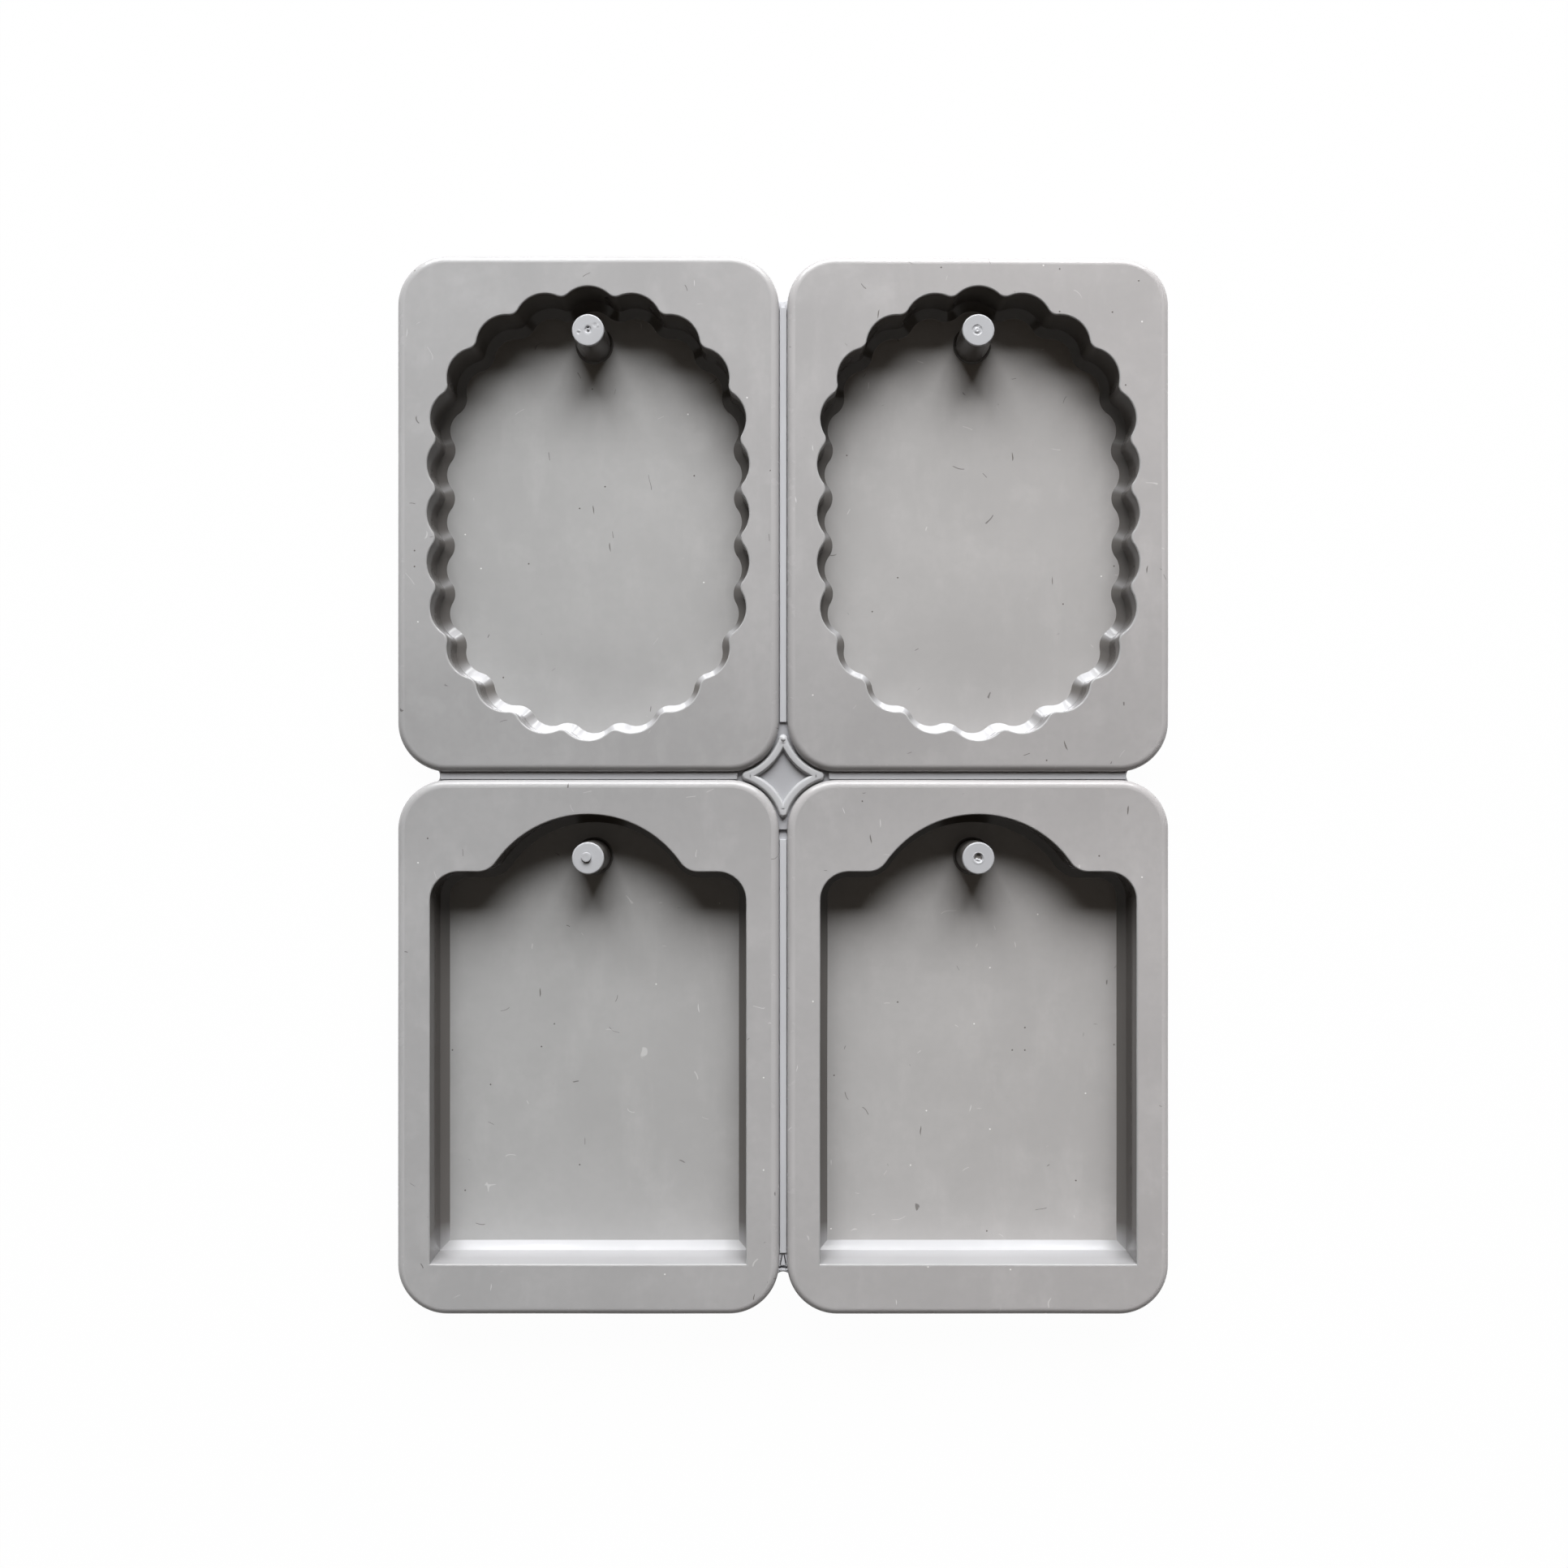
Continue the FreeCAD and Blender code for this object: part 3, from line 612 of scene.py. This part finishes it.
def paintWallLight(bm):  # painted light: how much a wall looks up the mould towards the window, which lightens its tint
    v = trayValues
    bm.normal_update()
    litWall = bm.verts.layers.float.new("wallLightShare")
    for vert in bm.verts:
        facing = vert.normal.y / max(0.2, vert.normal.xy.length)
        share = smooth(clamped((facing - v["lightFrom"]) / v["lightRange"]))
        upwards = clamped(vert.normal.z / 0.5)
        vert[litWall] = share * (v["uprightLightShare"] + (1 - v["uprightLightShare"]) * upwards)


def trayPiece(name, walkOf, body, seed, drop=(0, 0)):
    v = trayValues
    low, high = nodeBox(name)
    middle = (low + high) / 2
    width, length = high.x - low.x, high.y - low.y
    outWidth, outLength = width - 2 * v["edgeSlack"], length - 2 * v["edgeSlack"]
    bm = bmesh.new()
    rimEdges = trayOutside(bm, outWidth, outLength)
    rimEdges += trayCavity(bm, walkOf(width, length, layout["rimLevel"], v["support"]), rimEdges)
    bmesh.ops.triangle_fill(bm, use_beauty=True, edges=rimEdges)
    wandered(bm, middle, outWidth, outLength, seed, drop)
    bmesh.ops.translate(bm, verts=bm.verts[:], vec=(middle.x, middle.y, 0))
    bmesh.ops.recalc_face_normals(bm, faces=bm.faces[:])
    paintWallLight(bm)
    return finished(name, bm, ["rim", "wall", "floor", "lip", "edge"], body)


for hand, seed, drop in (("left", 0.0, (0.0, 0.05)), ("right", 7.0, (0.2, 0.7))):
    trayPiece(f"oval_tray_{hand}", scallopWalk, f"{hand}_half", seed, drop)
    trayPiece(f"arched_tray_{hand}", archWalk, f"{hand}_half", seed + 3)
say("trays")

# Hole pins

pinValues = {
    "topRadius": 3.72,
    "draft": 1.4,
    "edgeRound": 0.36,
    "footRound": 0.5,
    "roundSteps": 6,
    "sink": 0.5,
    "segments": 128,
    "discRings": 30,
}
pinMarks = {  # soft dabs on top: x, y, outer radius, inner radius, height
    "oval_pin_left": [
        (0.05, 0.1, 1.3, 0.3, -0.1), (0.0, 0.15, 0.85, 0.6, -0.22), (-0.05, 0.75, 0.34, 0.05, -0.4),
        (0.08, 0.16, 0.4, 0.12, 0.4), (-2.2, -0.55, 0.5, 0.1, -0.12), (-2.0, -0.25, 0.4, 0.1, 0.08),
        (1.6, 1.2, 0.7, 0.1, -0.08), (2.3, 1.0, 0.5, 0.1, 0.06),
    ],
    "oval_pin_right": [
        (-0.25, 0.05, 1.25, 1.0, -0.16), (-0.3, -0.05, 0.8, 0.35, 0.2), (0.25, 0.75, 0.5, 0.1, 0.1),
        (-0.15, 0.1, 0.35, 0.1, -0.12),
    ],
    "arched_pin_left": [(-0.34, 0.28, 1.5, 1.1, -0.05)],
    "arched_pin_right": [
        (0.0, 0.0, 1.55, 1.2, 0.06), (0.0, 0.1, 1.25, 0.75, -0.5), (-0.35, -0.3, 0.55, 0.1, 0.22),
        (0.3, -0.45, 0.5, 0.1, 0.26), (0.05, 0.6, 0.5, 0.1, -0.25),
    ],
}
nipple = {"x": -0.34, "y": 0.28, "radius": 1.1, "height": 0.6, "edge": 0.12, "root": 0.3, "segments": 64}


def dabs(marks, x, y):  # height of the dabs at a point
    height = 0.0
    for dabX, dabY, outer, inner, rise in marks:
        away = math.hypot(x - dabX, y - dabY)
        height += rise * smooth(clamped((outer - away) / (outer - inner)))
    return height


def turned(bm, profile, segments):  # radii and levels, turned about the upright axis
    vert = bm.verts.new((profile[0][0], 0, profile[0][1]))
    chain = [vert]
    for radius, level in profile[1:]:
        vert = bmesh.ops.extrude_vert_indiv(bm, verts=[vert])["verts"][0]
        vert.co = (radius, 0, level)
        chain.append(vert)
    edges = unique(edge for v in chain for edge in v.link_edges)
    bmesh.ops.spin(bm, geom=chain + edges, cent=(0, 0, 0), axis=(0, 0, 1), angle=math.tau,
                   steps=segments, use_merge=True, use_duplicate=False)
    bmesh.ops.remove_doubles(bm, verts=bm.verts[:], dist=0.0005)


def addNipple(bm, top):
    n = nipple
    radius, edge, crest, root = n["radius"], n["edge"], top + n["height"], top - n["root"]
    extra = bmesh.new()
    profile = [(0, root), (radius + 0.05, root), (radius, crest - edge),
               (radius - edge * 0.3, crest - edge * 0.3), (radius - edge, crest),
               (radius * 0.6, crest - 0.02), (0, crest - 0.05)]
    turned(extra, profile, n["segments"])
    bmesh.ops.translate(extra, verts=extra.verts[:], vec=(n["x"], n["y"], 0))
    spare = bpy.data.meshes.new("nipple")
    extra.to_mesh(spare)
    extra.free()
    bm.from_mesh(spare)
    bpy.data.meshes.remove(spare)


def pinPiece(name, body):
    v = pinValues
    low, high = nodeBox(name)
    middle = (low + high) / 2
    top, floor = layout["rimLevel"], layout["floorLevel"]
    baseRadius = v["topRadius"] + (top - floor) * math.tan(math.radians(v["draft"]))
    foot, edge = v["footRound"], v["edgeRound"]
    profile = [(0, floor - v["sink"]), (baseRadius + foot, floor - v["sink"]), (baseRadius + foot, floor)]
    for i in range(1, v["roundSteps"] + 1):
        a = math.pi / 2 * i / v["roundSteps"]
        profile.append((baseRadius + foot * (1 - math.sin(a)), floor + foot * (1 - math.cos(a))))
    profile.append(((baseRadius + v["topRadius"]) / 2, (floor + top) / 2))
    for i in range(v["roundSteps"] + 1):
        a = math.pi / 2 * i / v["roundSteps"]
        profile.append((v["topRadius"] - edge * (1 - math.cos(a)), top - edge * (1 - math.sin(a))))
    flat = v["topRadius"] - edge
    profile += [(flat * (1 - i / v["discRings"]), top) for i in range(1, v["discRings"] + 1)]
    bm = bmesh.new()
    turned(bm, profile, v["segments"])
    for vert in bm.verts:
        if vert.co.z > top - 0.01:
            vert.co.z += dabs(pinMarks[name], vert.co.x, vert.co.y)
    if name == "arched_pin_left":
        addNipple(bm, top)
    for face in bm.faces:
        face.material_index = 1 if face.calc_center_median().z < top - edge else 0
    bmesh.ops.translate(bm, verts=bm.verts[:], vec=(middle.x, middle.y, 0))
    return finished(name, bm, ["pin", "wall"], body)


for hand in ("left", "right"):
    pinPiece(f"oval_pin_{hand}", f"{hand}_half")
    pinPiece(f"arched_pin_{hand}", f"{hand}_half")
say("pins")


# Webs, strips and the star; those that cross the long centre line are cut finely there

webValues = {
    "sink": 0.3,           # how far a web reaches into the trays beside it
    "tabReach": 3.2,
    "notchDepth": 1.0,
    "flareSteps": 8,
    "notchSteps": 14,
    "webEdge": 0.5,         # its rounding, which leaves a groove beside the trays
    "webEdgeSteps": 4,
    "tabStart": 1.3,        # the free end begins this much before the strip's end
    "tabCuts": 10,
    "tabCutGap": 0.7,
    "tabFall": {"upper": 0.045, "left": 0.015, "lower": 0.0, "right": 0.015},  # how fast it falls away
    "tabLift": {"upper": 0.9, "left": 0.9, "lower": 1.1, "right": 0.9},        # how far it stands up
    "grooveCut": 7,         # this cut of the lower free end is a groove
    "grooveDepth": 1.2,
    "stripRoot": 0.2,       # a strip or a rib starts this much inside what carries it
    "stripSlack": 0.08,
    "stripRound": 0.12,
    "stripHeight": 1.5,
    "sideStripHeight": 1.9,
    "lowerStripInset": 2.3,
    "sideStripOverrun": 1.8,
    "topSupport": 0.08,
    "foldCuts": 11,
}
starValues = {
    "panelLift": 0.9,       # the panel stands this much above the webs
    "panelSteps": 24,
    "ribOffset": 0.36,
    "ribWidth": 2.15,
    "tipRadius": 1.15,
    # the rib's section from its foot: steps inwards and upwards
    "ribSteps": [(0.0, 0.4), (0.1, 0.36), (0.16, 0.38), (0.14, 0.2), (0.08, 0.06), (0.12, 0.03),
                 (0.25, 0.02)],
    "nubRadius": 0.68,      # the small nub on the upper tip
    "nubHeight": 0.32,
    "nubTall": 1.2,
    "tipSteps": 10,
    "sideSteps": 44,
}
halfGap = layout["gap"] / 2
reach = halfGap + layout["cornerRadius"]  # from the star's centre to where the tray corners end


def slab(bm, face, height, edge=0.0, steps=3):  # a plate on a face, its upper edge rounded
    base = face.verts[0].co.z
    made = bmesh.ops.extrude_face_region(bm, geom=[face])["geom"]
    top = [item for item in made if isinstance(item, bmesh.types.BMFace)][0]
    bmesh.ops.translate(bm, verts=top.verts[:], vec=(0, 0, height - edge))
    if edge:
        for a, b in quarter(steps):
            ring(bm, top, edge * (math.cos(a) - math.cos(b)), base + height - edge * (1 - math.sin(b)))
        ring(bm, top, webValues["topSupport"], base + height)
    return top


def placed(bm, turn):  # from the web's own frame, which runs along +Y from the star's centre
    bmesh.ops.rotate(bm, verts=bm.verts[:], cent=(0, 0, 0),
                     matrix=Matrix.Rotation(math.radians(turn), 3, "Z"))
    bmesh.ops.translate(bm, verts=bm.verts[:], vec=(0, crossY, 0))


def folding(name, bm, part):  # cut finely between the halves, which share it
    cuts = webValues["foldCuts"]
    for i in range(cuts):
        x = halfGap * (2 * (i + 1) / (cuts + 1) - 1)
        bmesh.ops.bisect_plane(bm, geom=bm.verts[:] + bm.edges[:] + bm.faces[:], dist=0.0001,
                               plane_co=(x, 0, 0), plane_no=(1, 0, 0))
    piece = finished(name, bm, [part], None)
    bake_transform(piece)
    return piece


def carried(name, bm, part, side):  # the side webs are on one half, and the others are cut finely between the halves
    if side in ("left", "right"):
        return finished(name, bm, [part], f"{side}_half")
    return folding(name, bm, part)


def webPiece(side, turn, blockLength, inset):
    v = webValues
    corner = layout["cornerRadius"]
    r, wide = corner - v["sink"], halfGap + v["sink"]
    end = reach + blockLength - 2 * corner
    flare = math.degrees(math.asin(v["tabReach"] / r))
    hornX = halfGap + corner - r * math.cos(math.radians(flare))
    depth = v["notchDepth"]
    notchRadius = (hornX ** 2 + depth ** 2) / (2 * depth)
    notchY = end + v["tabReach"] - depth + notchRadius
    notchSweep = 2 * math.degrees(math.asin(hornX / notchRadius))

    def walk(bm):
        vert = bm.verts.new((-wide, reach, layout["webLevel"]))
        vert = line(bm, vert, wide, reach)
        vert = line(bm, vert, wide, end)
        vert = arc(bm, vert, (halfGap + corner, end), -flare, v["flareSteps"])
        vert = arc(bm, vert, (0, notchY), -notchSweep, v["notchSteps"])
        vert = arc(bm, vert, (-halfGap - corner, end), -flare, v["flareSteps"])
        line(bm, vert, -wide, reach)

    bm = bmesh.new()
    slab(bm, closed(bm, walk), layout["webTop"] - layout["webLevel"], v["webEdge"], v["webEdgeSteps"])
    tabFrom = end - max(0, inset) - v["tabStart"]
    for i in range(v["tabCuts"]):
        bmesh.ops.bisect_plane(bm, geom=bm.verts[:] + bm.edges[:] + bm.faces[:], dist=0.0001,
                               plane_co=(0, tabFrom + v["tabCutGap"] * i, 0), plane_no=(0, 1, 0))
    grooveY = tabFrom + v["tabCutGap"] * v["grooveCut"]
    for vert in bm.verts:
        onTop = vert.co.z > layout["webTop"] - 1
        vert.co.z -= v["tabFall"][side] * max(0, vert.co.y - tabFrom) ** 2
        if side == "lower" and onTop and abs(vert.co.y - grooveY) < 0.1:
            vert.co.z -= v["grooveDepth"]
        if vert.co.y > tabFrom + 0.5:
            vert.co.z += v["tabLift"][side]
    placed(bm, turn)
    return carried(f"{side}_web", bm, "web", side)


def stripPiece(side, turn, start, end):
    v = webValues
    wide = halfGap - v["stripSlack"]

    def walk(bm):
        vert = bm.verts.new((-wide, start, layout["webTop"] - v["stripRoot"]))
        for x, y in ((wide, start), (wide, end), (-wide, end), (-wide, start)):
            vert = line(bm, vert, x, y)

    bm = bmesh.new()
    height = v["sideStripHeight"] if side in ("left", "right") else v["stripHeight"]
    slab(bm, closed(bm, walk), height + v["stripRoot"], v["stripRound"])
    placed(bm, turn)
    return carried(f"{side}_strip", bm, "strip", side)


def starWebPiece():
    wide = halfGap + webValues["sink"]

    def walk(bm):
        vert = bm.verts.new((reach, -wide, layout["webLevel"]))
        for sx, sy in ((1, 1), (-1, 1), (-1, -1), (1, -1)):
            if sx == sy:
                vert = line(bm, vert, sx * reach, sy * wide)
            else:
                vert = line(bm, vert, sx * wide, sy * reach)
            vert = arc(bm, vert, (sx * reach, sy * reach), -90, starValues["panelSteps"])

    bm = bmesh.new()
    slab(bm, closed(bm, walk), layout["webTop"] + starValues["panelLift"] - layout["webLevel"])
    placed(bm, 0)
    return folding("star_web", bm, "panel")


def starWalk(radius, tip, level):
    away = radius + tip
    lean = math.degrees(math.acos(reach / away))
    tipX = reach - math.sqrt(away ** 2 - reach ** 2)

    def walk(bm):
        start = math.radians(lean - 90)
        vert = bm.verts.new((tipX + tip * math.cos(start), tip * math.sin(start), level))
        for turn in (0, 90, 180, 270):
            centre = Matrix.Rotation(math.radians(turn), 2) @ Vector((tipX, 0))
            corner = Matrix.Rotation(math.radians(turn), 2) @ Vector((reach, reach))
            if tip:
                vert = arc(bm, vert, centre, 180 - 2 * lean, starValues["tipSteps"])
            vert = arc(bm, vert, corner, 2 * lean - 90, starValues["sideSteps"])
    return walk


def starRibPiece():
    v = starValues
    root = webValues["stripRoot"]
    foot = layout["webTop"] + v["panelLift"]
    bm = bmesh.new()
    outer = layout["cornerRadius"] + v["ribOffset"]
    loops = [closed(bm, starWalk(outer, v["tipRadius"], foot - root)),
             closed(bm, starWalk(outer + v["ribWidth"], 0, foot - root))]
    edges = [edge for face in loops for edge in face.edges]
    bmesh.ops.delete(bm, geom=loops, context="FACES_ONLY")
    bmesh.ops.triangle_fill(bm, use_beauty=True, edges=edges)
    made = bmesh.ops.extrude_face_region(bm, geom=bm.faces[:])["geom"]
    top = [item for item in made if isinstance(item, bmesh.types.BMFace)]
    bmesh.ops.translate(bm, verts=unique(q for face in top for q in face.verts), vec=(0, 0, root))
    for inwards, rise in v["ribSteps"]:
        bmesh.ops.inset_region(bm, faces=top, thickness=inwards, use_boundary=True, use_even_offset=True)
        bmesh.ops.translate(bm, verts=unique(q for face in top for q in face.verts), vec=(0, 0, rise))
    crest = foot + sum(rise for inwards, rise in v["ribSteps"])
    tipY = reach - math.sqrt((outer + v["tipRadius"]) ** 2 - reach ** 2)
    made = bmesh.ops.create_uvsphere(bm, u_segments=24, v_segments=16, radius=v["nubRadius"])
    bmesh.ops.scale(bm, verts=made["verts"], vec=(1, 1, v["nubTall"]))
    nubZ = crest + v["nubHeight"] - v["nubTall"] * v["nubRadius"]
    bmesh.ops.translate(bm, verts=made["verts"], vec=(0, tipY, nubZ))
    placed(bm, 0)
    return folding("star_rib", bm, "rib")


ovalLength, archedLength = ovalHigh.y - ovalLow.y, archedHigh.y - archedLow.y
sideLength = ovalHigh.x - ovalLow.x
for side, turn, blockLength, inset in (
    ("upper", 0, ovalLength, 0.0),
    ("left", 90, sideLength, -webValues["sideStripOverrun"]),
    ("lower", 180, archedLength, webValues["lowerStripInset"]),
    ("right", 270, sideLength, -webValues["sideStripOverrun"]),
):
    webPiece(side, turn, blockLength, inset)
    stripPiece(side, turn, reach + inset, reach + blockLength - 2 * layout["cornerRadius"] - inset)
starWebPiece()
starRibPiece()
say("webs, strips and star")

# Floor, lamps and camera

studio = {
    "paneY": 1.6,            # the window stands behind the oval trays
    "paneShift": 0.03,
    "paneWidth": 0.36,
    "paneGap": 0.05,
    "litRow": (0.5, 2.1),
    "litPanes": 4,
    "litPower": 25.4,
    "glossRows": ((0.06, 0.46), (0.5, 1.3)),  # rows that are seen only in the gloss
    "glossPanes": 5,
    "glossPower": 14.0,      # its brightness, where 1 is white
    "paneColour": (0.98, 0.99, 1.0),
    "roomLevel": 0.035,
    "roomColour": (1.0, 0.78, 0.56),
    "glossShare": 0.3,
    "floorColour": (0.82, 0.82, 0.82),
    "floorSize": 30.0,
    "floorWhite": 0.98,
}


def lightPathMix(tree, plain, seen, output):  # what the camera sees, and partly what gloss mirrors
    path = addNode(tree, "ShaderNodeLightPath")
    mirrored = sums(tree, "MAXIMUM", path.outputs["Is Glossy Ray"], path.outputs["Is Transmission Ray"])
    mirrored = sums(tree, "MULTIPLY", mirrored, studio["glossShare"])
    either = sums(tree, "MAXIMUM", path.outputs["Is Camera Ray"], mirrored)
    mix = addNode(tree, "ShaderNodeMixShader")
    tree.links.new(either, mix.inputs[0])
    tree.links.new(plain, mix.inputs[1])
    tree.links.new(seen, mix.inputs[2])
    tree.links.new(mix.outputs[0], output.inputs["Surface"])


def studioFloor():
    bm = bmesh.new()
    bmesh.ops.create_grid(bm, x_segments=1, y_segments=1, size=studio["floorSize"] / 2)
    mesh = bpy.data.meshes.new("studioFloor")
    bm.to_mesh(mesh)
    bm.free()
    floor = bpy.data.objects.new("studioFloor", mesh)
    scene.collection.objects.link(floor)
    material = bpy.data.materials.new("paleFloor")
    material.use_nodes = True
    tree = material.node_tree
    tree.nodes.remove(tree.nodes["Principled BSDF"])
    output = tree.nodes["Material Output"]
    matte = addNode(tree, "ShaderNodeBsdfDiffuse", Color=(*studio["floorColour"], 1))
    white = addNode(tree, "ShaderNodeEmission", Color=(1, 1, 1, 1), Strength=1.0)
    both = addNode(tree, "ShaderNodeMixShader", Fac=studio["floorWhite"])
    tree.links.new(matte.outputs[0], both.inputs[1])
    tree.links.new(white.outputs[0], both.inputs[2])
    lightPathMix(tree, matte.outputs[0], both.outputs[0], output)
    mesh.materials.append(material)


def studioWorld():
    world = bpy.data.worlds.new("studio")
    scene.world = world
    world.use_nodes = True
    tree = world.node_tree
    background = tree.nodes["Background"]
    background.inputs["Color"].default_value = (*studio["roomColour"], 1)
    background.inputs["Strength"].default_value = studio["roomLevel"]
    white = addNode(tree, "ShaderNodeBackground", Color=(1, 1, 1, 1), Strength=1.0)
    lightPathMix(tree, background.outputs[0], white.outputs[0], tree.nodes["World Output"])


def windowRow(name, low, high, count, power, glossOnly):  # lights either the diffuse or the gloss
    width, step = studio["paneWidth"], studio["paneWidth"] + studio["paneGap"]
    for i in range(count):
        lamp = bpy.data.lights.new(f"{name}{i}", "AREA")
        lamp.shape = "RECTANGLE"
        lamp.size = width
        lamp.size_y = high - low
        lamp.energy = power
        lamp.color = studio["paneColour"]
        pane = bpy.data.objects.new(f"{name}{i}", lamp)
        across = studio["paneShift"] + (i - (count - 1) / 2) * step
        pane.location = (across, studio["paneY"], (low + high) / 2)
        pane.rotation_euler = (math.radians(-90), 0, 0)
        pane.visible_camera = False
        pane.visible_diffuse = not glossOnly
        pane.visible_glossy = glossOnly
        scene.collection.objects.link(pane)


studioFloor()
studioWorld()
windowRow("window", *studio["litRow"], studio["litPanes"], studio["litPower"], False)
for low, high in studio["glossRows"]:
    power = studio["glossPower"] * math.pi * studio["paneWidth"] * (high - low)
    windowRow(f"gloss{low}_", low, high, studio["glossPanes"], power, True)

cameraValues = {
    "height": 0.357,
    "x": 0.0002,
    "y": 0.00026,
    "lens": 34.12,
    "sensor": 36.0,
}
cameraData = bpy.data.cameras.new("camera")
cameraData.lens = cameraValues["lens"]
cameraData.sensor_width = cameraValues["sensor"]
camera = bpy.data.objects.new("camera", cameraData)
camera.location = [cameraValues[key] for key in ("x", "y", "height")]
scene.collection.objects.link(camera)
scene.camera = camera
scene.view_settings.view_transform = "Standard"
say("studio")
